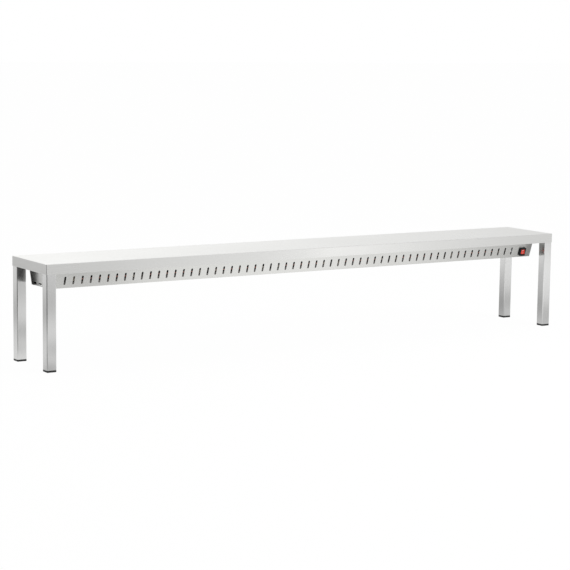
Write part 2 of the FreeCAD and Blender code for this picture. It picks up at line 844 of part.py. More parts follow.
def tray_bushes():
    low = crown_bottom - bush_tail
    high = tray_top + bush_flange_height
    neck = rod(vector(0, 0, low), UP, bush_radius, tray_top - low)
    flange = rod(vector(0, 0, tray_top), UP, bush_flange_radius, bush_flange_height)
    bore = rod(vector(0, 0, low - overrun), UP, bush_bore_radius, high - low + 2 * overrun)
    bush = neck.fuse(flange).cut(bore)
    return group([moved(bush, x) for side in SIDES for x in lead_xs(side)])


def lamp_leads(lamp_side, bus_side):
    """From the sockets on one side of the lamps up through the tray to one of the two conductors."""
    start = lamp_height + socket_half
    reach = bus_side * (bus_spread - bus_radius - rest_gap)
    leads = []
    for x in lead_xs(lamp_side):
        corners = [vector(x, 0, start), vector(x, 0, bus_height), vector(x, reach, bus_height)]
        leads.append(bent_wire(corners, lead_radius, lead_bend_radius))
    return group(leads)


def insulator_xs():
    """Halfway between the lamps, and to the left of the first one."""
    return [x - lamp_pitch / 2 for x in lamp_xs()]


def bus_wire(side):
    left = insulator_xs()[0] - bus_left_tail
    return rod(vector(left, side * bus_spread, bus_height), ALONG, bus_radius, block_left - left)


def bus_insulators():
    post = box(-insulator_thickness / 2, insulator_thickness / 2, -insulator_width / 2,
               insulator_width / 2, tray_top, tray_top + insulator_height)
    for side in SIDES:
        hole = rod(vector(-insulator_thickness, side * bus_spread, bus_height), ALONG,
                   bus_radius + thread_gap, 2 * insulator_thickness)
        post = post.cut(hole)
    return group([moved(post, x) for x in insulator_xs()])


def terminal_block():
    block = box(block_left, block_left + block_length, -block_depth / 2, block_depth / 2,
                tray_top, tray_top + block_height)
    way = block_length / block_ways
    top = tray_top + block_height
    for index in range(1, block_ways):
        x = block_left + index * way
        block = block.cut(box(x - block_groove_width / 2, x + block_groove_width / 2,
                              -block_depth / 2 - overrun, block_depth / 2 + overrun,
                              top - block_groove_depth, top + overrun))
    return block


def switch_wires():
    """From two of the switch's blades up through the tray and into the side of the terminal block."""
    wires = []
    for index, side in enumerate(SIDES):
        x = switch_x + side * blade_spread_across
        along = switch_along + blade_spread_along
        tip = on_front_wall(x, along, -case_depth - blade_length)
        turn = on_front_wall(x, along, -case_depth - blade_length - switch_wire_run)
        height = tray_top + switch_wire_rise + index * switch_wire_step
        entry = -switch_wire_entry + index * switch_wire_entry_step
        corners = [tip, turn, vector(x, turn.y, height),
                   vector(block_right + switch_wire_stub, entry, height), vector(block_right, entry, height)]
        wires.append(bent_wire(corners, switch_wire_radius, switch_wire_bend))
    return group(wires)


def earth_place():
    return vector(housing_right - earth_end_distance, earth_offset, tray_top)


def earth_stud():
    return rod(earth_place(), UP, earth_radius, earth_length)


def earth_nuts():
    place = earth_place()
    piece = nut(earth_nut_flats, earth_nut_height, earth_radius)
    return group([moved(piece, place.x, place.y, place.z + index * earth_nut_spread)
                  for index in range(earth_nut_count)])


# Switch, drawn on the front wall: X along the wall, Y up the wall, Z out of it

def on_switch(shape):
    return stand_on_front_wall(shape, switch_x, switch_along)


def switch_body():
    """Bezel and case in one moulding, with a pocket and two pivot holes for the rocker."""
    bezel = box(-bezel_width / 2, bezel_width / 2, -bezel_height / 2, bezel_height / 2, 0, bezel_thickness)
    bezel = bezel.makeFillet(bezel_corner_radius, upright_edges(bezel))
    case = box(-case_width / 2, case_width / 2, -case_height / 2, case_height / 2, -case_depth, 0)
    half_width = rocker_width / 2 + rocker_gap
    half_height = rocker_radius + rocker_gap
    pocket = box(-half_width, half_width, -half_height, half_height,
                 rocker_pivot_out - rocker_sweep_depth, bezel_thickness + overrun)
    reach = rocker_width / 2 + pivot_length + rocker_gap
    pivots = rod(vector(-reach, 0, rocker_pivot_out), ALONG, pivot_radius + thread_gap, 2 * reach)
    return on_switch(bezel.fuse(case).removeSplitter().cut(pocket).cut(pivots))


def rocker_frame(shape):
    """Turns a shape drawn for a level rocker to its resting tilt, with the upper half pressed."""
    copy = shape.copy()
    copy.rotate(NOWHERE, ALONG, -rocker_tilt)
    copy.translate(vector(0, 0, rocker_pivot_out))
    return on_switch(copy)


def rocker_outline():
    """Side view: a shallow V on top, round ends about the pivot and a flat skirt."""
    rise = math.tan(math.radians(rocker_tilt))
    blend = 1 + rise * rise
    half = rocker_crest * rise
    end_y = (-half + math.sqrt(half * half + blend * (rocker_radius ** 2 - rocker_crest ** 2))) / blend
    end_z = rocker_crest + end_y * rise
    low_y = math.sqrt(rocker_radius ** 2 - rocker_skirt ** 2)
    middle = vector(0, 0, rocker_crest)
    front_end = vector(0, end_y, end_z)
    front_low = vector(0, low_y, -rocker_skirt)
    back_low = vector(0, -low_y, -rocker_skirt)
    back_end = vector(0, -end_y, end_z)
    curves = (Part.LineSegment(middle, front_end),
              Part.Arc(front_end, vector(0, rocker_radius, 0), front_low),
              Part.LineSegment(front_low, back_low),
              Part.Arc(back_low, vector(0, -rocker_radius, 0), back_end),
              Part.LineSegment(back_end, middle))
    return Part.Wire([curve.toShape() for curve in curves])


def switch_rocker():
    body = Part.Face(rocker_outline()).extrude(vector(rocker_width, 0, 0))
    body.translate(vector(-rocker_width / 2, 0, 0))
    ends = [edge for edge in body.Edges if is_parallel(edge, ALONG)
            and edge.Vertexes[0].Z > rocker_crest + rocker_edge_radius]
    body = body.makeFillet(rocker_edge_radius, ends)
    reach = rocker_width / 2 + pivot_length
    stubs = rod(vector(-reach, 0, 0), ALONG, pivot_radius, 2 * reach)
    return rocker_frame(body.fuse(stubs).removeSplitter())


def rocker_marks():
    """A ring on the upper half and a bar on the lower half, printed a little proud."""
    ring = rod(NOWHERE, UP, ring_radius, mark_height)
    ring = ring.cut(rod(vector(0, 0, -overrun), UP, ring_radius - ring_line, mark_height + 2 * overrun))
    bar = box(-bar_width / 2, bar_width / 2, -bar_length / 2, bar_length / 2, 0, mark_height)
    marks = []
    for mark, side in ((ring, 1), (bar, -1)):
        copy = moved(mark, 0, side * mark_offset, 0)
        copy.rotate(NOWHERE, ALONG, side * rocker_tilt)
        marks.append(moved(copy, 0, 0, rocker_crest))
    return rocker_frame(group(marks))


def switch_terminals():
    blades = []
    for across in SIDES:
        for along in SIDES:
            x = across * blade_spread_across
            y = along * blade_spread_along
            blades.append(box(x - blade_width / 2, x + blade_width / 2, y - blade_thickness / 2,
                              y + blade_thickness / 2, -case_depth - blade_length, -case_depth))
    return on_switch(group(blades))


def cover_back():
    """The cover's back face: behind the wires that go up from the switch."""
    wire = on_front_wall(switch_x, switch_along + blade_spread_along,
                         -case_depth - blade_length - switch_wire_run)
    return wire.y + switch_wire_radius + cover_wire_gap + cover_sheet


def switch_cover():
    """Box under the tray, open towards the wall and upwards, around the back of the switch."""
    low = housing_bottom + cover_rise
    depth = housing_sheet + weld_gap
    back = cover_back()
    outer = [(-inner_half(low, depth), low), (back, low), (back, tray_bottom),
             (-inner_half(tray_bottom, depth), tray_bottom)]
    floor = low + cover_sheet
    wall = back - cover_sheet
    high = tray_bottom + overrun
    inner = [(-inner_half(floor, -overrun), floor), (wall, floor), (wall, high),
             (-inner_half(high, -overrun), high)]
    left = switch_x - cover_inside
    right = switch_x + cover_inside
    shell = prism_along(outer, left - cover_sheet, right + cover_sheet)
    return shell.cut(prism_along(inner, left, right))


# Lamp guard

def guard_wire_xs():
    first = guard_left + guard_end_margin
    pitch = (guard_right - guard_end_margin - first) / (guard_wire_count - 1)
    return [first + index * pitch for index in range(guard_wire_count)]


def guard_rod_height():
    return lip_top + weld_gap + guard_rod_radius


def lamp_guard():
    """Rods along the housing, resting on its lips, with wires welded across them at each crossing."""
    spacing = 2 * guard_rod_spread / (guard_rod_count - 1)
    height = guard_rod_height()
    rods = [rod(vector(guard_left, -guard_rod_spread + index * spacing, height), ALONG,
                guard_rod_radius, guard_right - guard_left) for index in range(guard_rod_count)]
    reach = guard_rod_spread + guard_wire_tail
    wire_height = height + guard_rod_radius + weld_gap + guard_wire_radius
    wires = [rod(vector(x, -reach, wire_height), BACK, guard_wire_radius, 2 * reach)
             for x in guard_wire_xs()]
    return group(rods + wires)


def guard_clip_xs():
    wires = guard_wire_xs()
    return [(wires[index] + wires[index + 1]) / 2 for index in guard_clip_gap_indexes]


def guard_clips():
    """Straps with a foot on the lip and an upper end over the guard's outer rod."""
    rod_top = guard_rod_height() + guard_rod_radius
    foot_end = -guard_rod_spread + guard_rod_radius + clip_sheet + rest_gap
    line = [(-guard_rod_spread - clip_cover + guard_rod_radius, rod_top), (foot_end - clip_sheet, rod_top),
            (foot_end - clip_sheet, lip_top), (foot_end - clip_sheet + clip_foot, lip_top)]
    outer = inner_line(line, clip_sheet)
    profile = line + outer[::-1]
    clips = []
    for x in guard_clip_xs():
        clip = prism_along(profile, x - clip_width / 2, x + clip_width / 2)
        clip = clip.cut(rod(vector(x, -guard_screw_offset, lip_top - overrun), UP,
                            guard_screw_radius + clearance_hole_gap, 2 * overrun))
        clips += [clip, clip.mirror(NOWHERE, BACK)]
    return group(clips)


def guard_screw_places():
    return [(x, side * guard_screw_offset) for x in guard_clip_xs() for side in SIDES]


def guard_screws():
    piece = screw(guard_screw_radius, housing_sheet + clip_sheet + guard_screw_end,
                  guard_screw_head_radius, guard_screw_head_height)
    return group([moved(piece, x, y, housing_bottom) for x, y in guard_screw_places()])


def guard_nuts():
    piece = nut(guard_nut_flats, guard_nut_height, guard_screw_radius)
    return group([moved(piece, x, y, lip_top + clip_sheet) for x, y in guard_screw_places()])


# Entry of the supply cord

def on_gland(shape):
    """Places a shape drawn along Z, with the end plate's outer face at zero, on the gland's axis."""
    copy = shape.copy()
    copy.rotate(NOWHERE, BACK, 90)
    copy.translate(vector(housing_right, gland_offset, gland_height))
    return copy


def gland_body():
    low = -housing_sheet - gland_inner_length
    high = gland_hex_height + gland_outer_length
    thread = rod(vector(0, 0, low), UP, gland_thread_radius, high - low)
    bore = rod(vector(0, 0, low - overrun), UP, gland_bore_radius, high - low + 2 * overrun)
    return on_gland(thread.fuse(hexagon(gland_hex_flats, gland_hex_height)).cut(bore))


def gland_locknut():
    piece = nut(gland_locknut_flats, gland_locknut_height, gland_thread_radius)
    return on_gland(moved(piece, 0, 0, -housing_sheet - gland_locknut_height))


def gland_cap():
    low = gland_hex_height + gland_cap_gap
    high = low + gland_cap_length
    outer = rod(vector(0, 0, low), UP, gland_cap_radius, gland_cap_length)
    outer = outer.makeFillet(gland_cap_mouth_length, level_edges(outer, high))
    cavity = rod(vector(0, 0, low - overrun), UP, gland_thread_radius + thread_gap,
                 gland_cap_length + overrun - gland_cap_mouth_length)
    mouth = rod(vector(0, 0, low), UP, gland_cap_mouth_radius, gland_cap_length + overrun)
    return on_gland(outer.cut(cavity).cut(mouth))


def gland_seal():
    low = gland_hex_height + gland_outer_length
    high = gland_hex_height + gland_cap_gap + gland_cap_length - gland_cap_mouth_length
    ring = rod(vector(0, 0, low), UP, seal_radius, high - low)
    return on_gland(ring.cut(rod(vector(0, 0, low - overrun), UP, seal_bore_radius, high + overrun)))


def cord_grommet():
    """Rubber ring in the tray, where the cord's tail goes up to the terminal block."""
    height = 2 * grommet_flange_height + tray_sheet
    neck = rod(NOWHERE, UP, grommet_radius, height)
    flanges = [rod(vector(0, 0, z), UP, grommet_flange_radius, grommet_flange_height)
               for z in (0, grommet_flange_height + tray_sheet)]
    bore = rod(vector(0, 0, -overrun), UP, grommet_bore_radius, height + 2 * overrun)
    ring = neck.fuse(flanges).cut(bore)
    return moved(ring, housing_right - grommet_end_distance, gland_offset,
                 tray_bottom - grommet_flange_height)


# Assembly

def build():
    wall = plain_wall()
    nodes = {"top_panel": top_panel()}
    for end, side_y in (("front", -1), ("rear", 1)):
        for hand, side_x in (("left", -1), ("right", 1)):
            nodes[f"leg_{end}_{hand}"] = leg(side_x, side_y)
            nodes[f"foot_cap_{end}_{hand}"] = foot_cap(side_x, side_y)
    for index, x in enumerate(lamp_xs(), start=1):
        nodes[f"lamp_tube_{index}"] = lamp_tube(x)
    nodes["housing_front_wall"] = housing_front_wall(wall)
    nodes["housing_rear_wall"] = housing_rear_wall(wall)
    nodes["live_leads"] = lamp_leads(1, -1)
    nodes["neutral_leads"] = lamp_leads(-1, 1)
    nodes["live_bus_wire"] = bus_wire(-1)
    nodes["neutral_bus_wire"] = bus_wire(1)
    for make in (leg_plates, leg_studs, leg_nuts, housing_end_left, housing_end_right, wiring_tray,
                 housing_studs, housing_nuts, reflector, lamp_caps, lamp_filaments, lamp_brackets,
                 lamp_sockets, socket_contacts, socket_screws, bracket_screws, bracket_nuts, tray_bushes,
                 bus_insulators, terminal_block, switch_wires, earth_stud, earth_nuts, lamp_guard,
                 guard_clips, guard_screws, guard_nuts, switch_body, switch_rocker, rocker_marks,
                 switch_terminals, switch_cover, gland_body, gland_locknut, gland_cap, gland_seal,
                 cord_grommet):
        nodes[make.__name__] = make()
    return nodes


os.makedirs("parts", exist_ok=True)
for name, shape in build().items():
    shape.exportStep(f"parts/{name}.step")
    print(name, len(shape.Solids), round(shape.Volume), shape.isValid())
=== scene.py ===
"""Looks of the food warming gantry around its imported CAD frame, for Blender 4.5.

Metres, in the frame of the part: +X runs along the shelf, the front faces -Y and +Z is up.
"""
import math

import bmesh
import bpy
from mathutils import Matrix, Vector

MM = 0.001

# Camera, solved from the shelf's corners and the feet in the photograph

PHOTO_SIDE = 570            # pixels
FOCAL_PIXELS = 1855.68
CAMERA_PLACE = Vector((-4.2179, -6.5786, 1.3134))
CAMERA_YAW = 0.56214        # radians, from +Y towards +X
CAMERA_PITCH = 0.1361       # downward
CAMERA_ROLL = 0.01226
SENSOR_WIDTH = 36.0         # mm
FARTHEST_VIEW = 200.0

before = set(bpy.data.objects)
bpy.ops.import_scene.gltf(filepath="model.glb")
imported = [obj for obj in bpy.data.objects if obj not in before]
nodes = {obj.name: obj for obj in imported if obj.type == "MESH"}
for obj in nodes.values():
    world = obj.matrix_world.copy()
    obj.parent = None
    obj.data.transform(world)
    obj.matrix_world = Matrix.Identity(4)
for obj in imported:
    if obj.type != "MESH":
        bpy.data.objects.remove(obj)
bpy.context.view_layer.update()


# Helpers

MIX_SOCKETS = {"FLOAT": (2, 3, 0), "VECTOR": (4, 5, 1), "RGBA": (6, 7, 2)}   # both inputs and the output
SINGLE_VALUES = ("DOT_PRODUCT", "DISTANCE", "LENGTH")   # vector operations that give one number
NOISE_RANGE = (0.3, 0.7)    # nearly all of a noise texture's values lie in it
EVEN_NOISE = 0.5            # roughness of a plain noise


def linear(hex_colour):
    """An sRGB hex colour as a linear RGBA value, by the standard curve."""
    channels = [int(hex_colour[i:i + 2], 16) / 255 for i in (0, 2, 4)]
    return [c / 12.92 if c <= 0.04045 else ((c + 0.055) / 1.055) ** 2.4 for c in channels] + [1.0]


def feed(tree, node, inputs):
    """Sets a node's inputs. One that is given another node's output is linked to it."""
    for socket, value in inputs.items():
        if isinstance(value, bpy.types.NodeSocket):
            tree.links.new(value, node.inputs[socket])
        else:
            node.inputs[socket].default_value = value


def add_node(tree, kind, inputs=None, **settings):
    """Adds a node with its settings and inputs."""
    made = tree.nodes.new(kind)
    for name, value in settings.items():
        setattr(made, name, value)
    feed(tree, made, inputs or {})
    return made


def scalar_math(tree, operation, *inputs):
    """The output of a Math node."""
    return add_node(tree, "ShaderNodeMath", dict(enumerate(inputs)), operation=operation).outputs[0]


def vector_math(tree, operation, *inputs):
    """The output of a Vector Math node."""
    made = add_node(tree, "ShaderNodeVectorMath", dict(enumerate(inputs)), operation=operation)
    return made.outputs["Value" if operation in SINGLE_VALUES else "Vector"]


def split(tree, vector):
    """The X, Y and Z outputs of a vector."""
    return add_node(tree, "ShaderNodeSeparateXYZ", {"Vector": vector}).outputs


def mixed(tree, kind, share, first, second, **settings):
    """The first of two values, colours or vectors where the share is 0, and the second where it is 1."""
    low, high, result = MIX_SOCKETS[kind]
    made = add_node(tree, "ShaderNodeMix", {0: share, low: first, high: second}, data_type=kind, **settings)
    return made.outputs[result]


def noise(tree, place, scale, detail, roughness=EVEN_NOISE):
    """A noise texture's value, with so many of its lumps to the unit of place."""
    return add_node(tree, "ShaderNodeTexNoise", {"Vector": place, "Scale": scale, "Detail": detail,
                                                 "Roughness": roughness}).outputs["Fac"]


def spread(tree, grain, low, high):
    """A noise's value spread between two numbers."""
    start, end = NOISE_RANGE
    return add_node(tree, "ShaderNodeMapRange", {"Value": grain, "From Min": start, "From Max": end,
                                                 "To Min": low, "To Max": high}).outputs[0]


def smooth(tree, value, start, end, low=0.0, high=1.0):
    """A smooth step from low at the start to high at the end."""
    return add_node(tree, "ShaderNodeMapRange", {"Value": value, "From Min": start, "From Max": end,
                                                 "To Min": low, "To Max": high},
                    interpolation_type="SMOOTHSTEP").outputs[0]


def bumped(tree, height, strength, depth):
    """A normal that follows a height."""
    return add_node(tree, "ShaderNodeBump", {"Strength": strength, "Distance": depth,
                                             "Height": height}).outputs[0]


def toned(tree, colour, tone):
    """A colour made a little lighter and darker by a tone near 1."""
    return mixed(tree, "RGBA", 1.0, linear(colour), tone, blend_type="MULTIPLY")


def new_material(name):
    """A material with only its Principled shader and its output."""
    material = bpy.data.materials.new(name)
    material.use_nodes = True
    tree = material.node_tree
    tree.nodes.clear()
    shader = add_node(tree, "ShaderNodeBsdfPrincipled")
    add_node(tree, "ShaderNodeOutputMaterial", {"Surface": shader.outputs["BSDF"]})
    return material, tree, shader


def object_place(tree):
    """The place of a point of the surface, in metres in the part's frame."""
    return add_node(tree, "ShaderNodeTexCoord").outputs["Object"]


def surface_normal(tree):
    return add_node(tree, "ShaderNodeNewGeometry").outputs["Normal"]


def dress(material, *names):
    """Gives CAD nodes a material in place of their plain one."""
    for name in names:
        mesh = nodes[name].data
        mesh.materials.clear()
        mesh.materials.append(material)


# Metals

ACROSS_STROKES = 0.25       # of a turn, from the strokes to the way that the gloss spreads
STROKE_DETAIL = 3.0
STROKE_NOISE = 0.6
STROKE_GLOSS = 0.02         # change of the roughness from stroke to stroke
STROKE_TONE = 0.015         # change of the colour from stroke to stroke
STROKE_BUMP = 0.1
STROKE_DEPTH = 0.004 * MM
CLOUD_SCALE = 3.0           # wide, faint changes of the gloss, to the metre
CLOUD_DETAIL = 2.0
CLOUD_GLOSS = 0.02
END_FACING = 0.5            # a face looks along X where its normal's X, squared, is more than this

# Colour and roughness of steel that the lamps' heat and dust have dulled; the dark colour is also painted
# shade on the housing's inner faces and the reflector's back
SOOT_AND_PAINTED_SHADE = "565049"
SOOT_ROUGHNESS = 0.55
INWARD_LIMIT = -0.02        # place times normal along an axis: below it, the face looks inward
UPWARD_LIMIT = 0.5          # normal's Z: above it, the face looks up

MOTTLE_DETAIL = 3.0
MOTTLE_GLOSS = 0.06
MOTTLE_TONES = (0.92, 1.06)


def inner_faces(tree, place, normal, axis):
    """1 on the faces of the housing that look inward along an axis, or up from a lip; 0 elsewhere."""
    facing = split(tree, normal)
    outward = scalar_math(tree, "MULTIPLY", split(tree, place)[axis], facing[axis])
    inward = scalar_math(tree, "LESS_THAN", outward, INWARD_LIMIT)
    upward = scalar_math(tree, "GREATER_THAN", facing["Z"], UPWARD_LIMIT)
    return scalar_math(tree, "MAXIMUM", inward, upward)


def along_strokes(tree, place, axis, width, length):
    """The place, squeezed so that a noise on it is drawn out along one axis."""
    scale = [1 / length if each == axis else 1 / width for each in "XYZ"]
    return add_node(tree, "ShaderNodeMapping", {"Vector": place, "Scale": scale}).outputs[0]


def brushed_steel(name, colour, roughness, anisotropy, grain_axis, grain_width, grain_length,
                  sooted_and_shaded_axis=None):
    """Stainless steel sheet or tube, brushed in long parallel strokes along one axis.

    Across the strokes the gloss spreads wide and along them it stays sharp, so edges and neighbours show as
    soft streaks. Real strokes are under 0.1 mm wide: these are drawn as coarse as they need to be to show.
    The faces that look inward along that axis are darkened: heat tint and dust, and painted shade of the
    housing's inside.
    """
    material, tree, shader = new_material(name)
    place = object_place(tree)
    normal = surface_normal(tree)
    strokes = along_strokes(tree, place, grain_axis, grain_width, grain_length)
    if grain_axis == "X":
        # Folded ends: there the strokes run down the face
        end_strokes = along_strokes(tree, place, "Z", grain_width, grain_length)
        facing = split(tree, normal)
        square = scalar_math(tree, "MULTIPLY", facing["X"], facing["X"])
        on_end = scalar_math(tree, "GREATER_THAN", square, END_FACING)
        strokes = mixed(tree, "VECTOR", on_end, strokes, end_strokes)
        tangent = {"X": scalar_math(tree, "SUBTRACT", 1.0, on_end), "Z": on_end}
    else:
        tangent = {"Z": 1.0}
    fine = noise(tree, strokes, 1.0, STROKE_DETAIL, STROKE_NOISE)
    cloud = noise(tree, place, CLOUD_SCALE, CLOUD_DETAIL)
    fine_gloss = spread(tree, fine, roughness - STROKE_GLOSS, roughness + STROKE_GLOSS)
    wide_gloss = spread(tree, cloud, -CLOUD_GLOSS, CLOUD_GLOSS)
    surface_roughness = scalar_math(tree, "ADD", fine_gloss, wide_gloss)
    surface_colour = toned(tree, colour, spread(tree, fine, 1 - STROKE_TONE, 1 + STROKE_TONE))
    if sooted_and_shaded_axis:
        # Heat tint and dust, and painted shade: the housing's inner faces take the dark colour
        inside = inner_faces(tree, place, normal, sooted_and_shaded_axis)
        surface_colour = mixed(tree, "RGBA", inside, surface_colour, linear(SOOT_AND_PAINTED_SHADE))
        surface_roughness = mixed(tree, "FLOAT", inside, surface_roughness, SOOT_ROUGHNESS)
    feed(tree, shader, {"Metallic": 1.0, "Anisotropic": anisotropy, "Anisotropic Rotation": ACROSS_STROKES,
                        "Base Color": surface_colour, "Roughness": surface_roughness,
                        "Normal": bumped(tree, fine, STROKE_BUMP, STROKE_DEPTH),
                        "Tangent": add_node(tree, "ShaderNodeCombineXYZ", tangent).outputs[0]})
    return material


def plain_metal(name, colour, roughness, grit, sooted_and_shaded_back=False):
    """Metal with an even, slightly mottled surface, such as plated, rolled or drawn pieces.

    A sooted back is dark on the faces that look upward, away from the lamps: soot, and painted shade under
    the housing's top.
    """
    material, tree, shader = new_material(name)
    mottle = noise(tree, object_place(tree), 1 / grit, MOTTLE_DETAIL)
    surface_colour = toned(tree, colour, spread(tree, mottle, *MOTTLE_TONES))
    if sooted_and_shaded_back:
        # Soot, and painted shade: the reflector's upward faces take the dark colour
        upward = scalar_math(tree, "GREATER_THAN", split(tree, surface_normal(tree))["Z"], 0.0)
        surface_colour = mixed(tree, "RGBA", upward, surface_colour, linear(SOOT_AND_PAINTED_SHADE))
    surface_roughness = spread(tree, mottle, roughness - MOTTLE_GLOSS, roughness + MOTTLE_GLOSS)
    feed(tree, shader, {"Metallic": 1.0, "Base Color": surface_colour, "Roughness": surface_roughness})
    return material


shelf_steel = brushed_steel("stainless_sheet_long_brushed", "e9e9e7", roughness=0.3, anisotropy=0.95,
                            grain_axis="X", grain_width=2 * MM, grain_length=260 * MM)
leg_steel = brushed_steel("stainless_tube_brushed", "e8e8e7", roughness=0.2, anisotropy=0.9,
                          grain_axis="Z", grain_width=1.5 * MM, grain_length=160 * MM)
housing_steel = brushed_steel("stainless_sheet_housing_brushed", "e8e8e5", roughness=0.28, anisotropy=0.95,
                              grain_axis="X", grain_width=2 * MM, grain_length=200 * MM, sooted_and_shaded_axis="Y")
end_steel = brushed_steel("stainless_end_plate_brushed", "dadad8", roughness=0.14, anisotropy=0.9,
                          grain_axis="X", grain_width=2 * MM, grain_length=200 * MM, sooted_and_shaded_axis="X")
inner_steel = plain_metal("galvanised_steel_sheet", "85888a", roughness=0.45, grit=6 * MM)
reflector_metal = plain_metal("aluminised_steel_reflector", "c9c6c0", roughness=0.28, grit=8 * MM,
                              sooted_and_shaded_back=True)
fastener_steel = plain_metal("zinc_plated_steel", "b4b3ae", roughness=0.3, grit=3 * MM)
guard_steel = plain_metal("drawn_steel_wire", "8f8d8a", roughness=0.32, grit=3 * MM)
heated_steel = plain_metal("heat_tinted_steel_strap", "5f5955", roughness=0.45, grit=6 * MM)
filament_metal = plain_metal("resistance_wire", "6e5a4c", roughness=0.45, grit=1 * MM)
brass = plain_metal("rolled_brass", "b98d4a", roughness=0.32, grit=3 * MM)


# Plastic, ceramic, rubber and quartz

GRAIN_DETAIL = 2.0
GRAIN_GLOSS = 0.05
GRAIN_TONES = (0.9, 1.08)
GRAIN_BUMP = 0.3
PLASTIC_IOR = 1.5
QUARTZ_IOR = 1.46
QUARTZ_ROUGHNESS = 0.12
COATING_TINTS = ("9e5746", "b86c58")
COATING_SCALE = 60.0        # lumps of the coating's tint, to the metre


def moulded(name, colour, roughness, grit, depth, ior=PLASTIC_IOR):
    """Moulded plastic, ceramic or rubber: one colour with a faint grain in its gloss and its surface."""
    material, tree, shader = new_material(name)
    grain = noise(tree, object_place(tree), 1 / grit, GRAIN_DETAIL)
    feed(tree, shader, {"IOR": ior,
                        "Base Color": toned(tree, colour, spread(tree, grain, *GRAIN_TONES)),
                        "Roughness": spread(tree, grain, roughness - GRAIN_GLOSS, roughness + GRAIN_GLOSS),
                        "Normal": bumped(tree, grain, GRAIN_BUMP, depth)})
    return material


def coated_quartz():
    """Quartz tube with a baked ruby coating: deep copper red and glossy."""
    material, tree, shader = new_material("ruby_coated_quartz")
    coat = noise(tree, object_place(tree), COATING_SCALE, GRAIN_DETAIL)
    dark, light = [linear(tint) for tint in COATING_TINTS]
    feed(tree, shader, {"IOR": QUARTZ_IOR, "Roughness": QUARTZ_ROUGHNESS,
                        "Base Color": mixed(tree, "RGBA", coat, dark, light)})
    return material


foot_plastic = moulded("moulded_polyethylene", "141414", roughness=0.45, grit=0.8 * MM, depth=0.02 * MM)
switch_black = moulded("moulded_polyamide", "111112", roughness=0.38, grit=0.6 * MM, depth=0.02 * MM)
switch_red = moulded("moulded_polycarbonate_red", "e2351f", roughness=0.22, grit=2 * MM, depth=0.005 * MM,
                     ior=1.58)
mark_white = moulded("pad_printed_ink", "f3efe9", roughness=0.5, grit=0.5 * MM, depth=0.005 * MM)
ceramic = moulded("pressed_steatite", "c2b9a9", roughness=0.55, grit=1.2 * MM, depth=0.03 * MM, ior=1.6)
sleeve = moulded("braided_glass_sleeving", "c9a48f", roughness=0.7, grit=0.7 * MM, depth=0.05 * MM)
gland_plastic = moulded("moulded_polyamide_gland", "232426", roughness=0.42, grit=0.8 * MM, depth=0.02 * MM)
rubber = moulded("moulded_neoprene", "1b1b1b", roughness=0.65, grit=0.6 * MM, depth=0.03 * MM)
quartz = coated_quartz()


# Each CAD node and its finish

CORNERS = ("front_left", "front_right", "rear_left", "rear_right")
LAMPS = range(1, 8)

dress(shelf_steel, "top_panel")
dress(leg_steel, *[f"leg_{corner}" for corner in CORNERS])
dress(foot_plastic, *[f"foot_cap_{corner}" for corner in CORNERS])
dress(housing_steel, "housing_front_wall", "housing_rear_wall")
dress(end_steel, "housing_end_left", "housing_end_right")
dress(inner_steel, "wiring_tray", "leg_plates", "switch_cover", "guard_clips")
dress(heated_steel, "lamp_brackets")
dress(reflector_metal, "reflector")
dress(quartz, *[f"lamp_tube_{index}" for index in LAMPS])
dress(filament_metal, "lamp_filaments")
dress(ceramic, "lamp_caps", "lamp_sockets", "tray_bushes", "bus_insulators", "terminal_block")
dress(brass, "socket_contacts", "switch_terminals")
dress(fastener_steel, "leg_studs", "leg_nuts", "housing_studs", "housing_nuts", "socket_screws",
      "bracket_screws", "bracket_nuts", "earth_stud", "earth_nuts", "guard_screws", "guard_nuts")
dress(guard_steel, "lamp_guard")
dress(sleeve, "live_leads", "neutral_leads", "live_bus_wire", "neutral_bus_wire", "switch_wires")
dress(switch_black, "switch_body")
dress(switch_red, "switch_rocker")
dress(mark_white, "rocker_marks")
dress(gland_plastic, "gland_body", "gland_locknut", "gland_cap")
dress(rubber, "gland_seal", "cord_grommet")


# Studio, as the steel mirrors it

STUDIO_LEVEL = 0.66
# Direction, sharpness and gain of each soft patch around the object
STUDIO_PATCHES = (
    ((0.568, -0.823, 0), 330, 0.47),        # white panel at the right front
    ((-0.75, -0.66, 0), 10, -0.62),         # dim side at the left front
    ((0.25, 0.968, 0), 10, 0.72),           # bright wall behind
    ((-0.67, 0.742, 0), 12, 0.12),          # faint glow at the left rear
)
CEILING_LEVEL = 1.0
CEILING_START = 0.5         # height of a direction, from where the ceiling blends in to where it is whole
CEILING_END = 0.9
NEAR_FLOOR_LEVEL = 0.86
LEAST_FLOOR_LEVEL = 0.04
# Place, radius and gain of each soft patch of the floor: painted light where the gain is positive, painted
# shade where it is negative; the two behind the right half and the middle are the shelf's painted shadow
FLOOR_PATCHES = (
    ((1.9, -2.4, 0), 2.6, 0.4),             # light of the white panel
    ((0.9, 0.45, 0), 1.2, -0.45),           # behind the right half
    ((0.1, 1.5, 0), 1.1, -0.4),             # behind the middle
    ((-3.2, -1.0, 0), 2.6, -0.85),          # off the left end
    ((1.5, -0.42, 0), 0.6, -0.2),           # by the right front
    ((2.9, 2.0, 0), 1.4, -0.7),             # past the right rear
    ((-0.8, -0.55, 0), 0.4, -0.4),          # under the wall's left end
    ((-1.9, 1.3, 0), 1.3, -0.2),            # past the left rear
    ((-1.2, -0.25, 0), 0.3, -0.15),         # before the left front foot
    ((-1.6, -0.3, 0), 0.55, -0.6),          # off the left front corner
    ((0.25, -0.6, 0), 1.35, 0.13),          # before the middle
    ((1.6, 0.2, 0), 0.45, 0.45),            # off the right end
)
# Beyond this oval, the floor is as bright as the studio in that direction
OVAL_SHIFT = (0.3, 0, 0)
OVAL_SCALE = (0.75, 0.9, 1)
OVAL_START = 1.1
OVAL_END = 1.7
SECOND_MIRROR_SHARE = 0.45  # of the light, left where one steel face mirrors another
SECOND_MIRROR_LIMIT = 1.5   # mirrors on a ray's way: above it, the share holds
ALONG_FLOOR = (1, 1, 0)


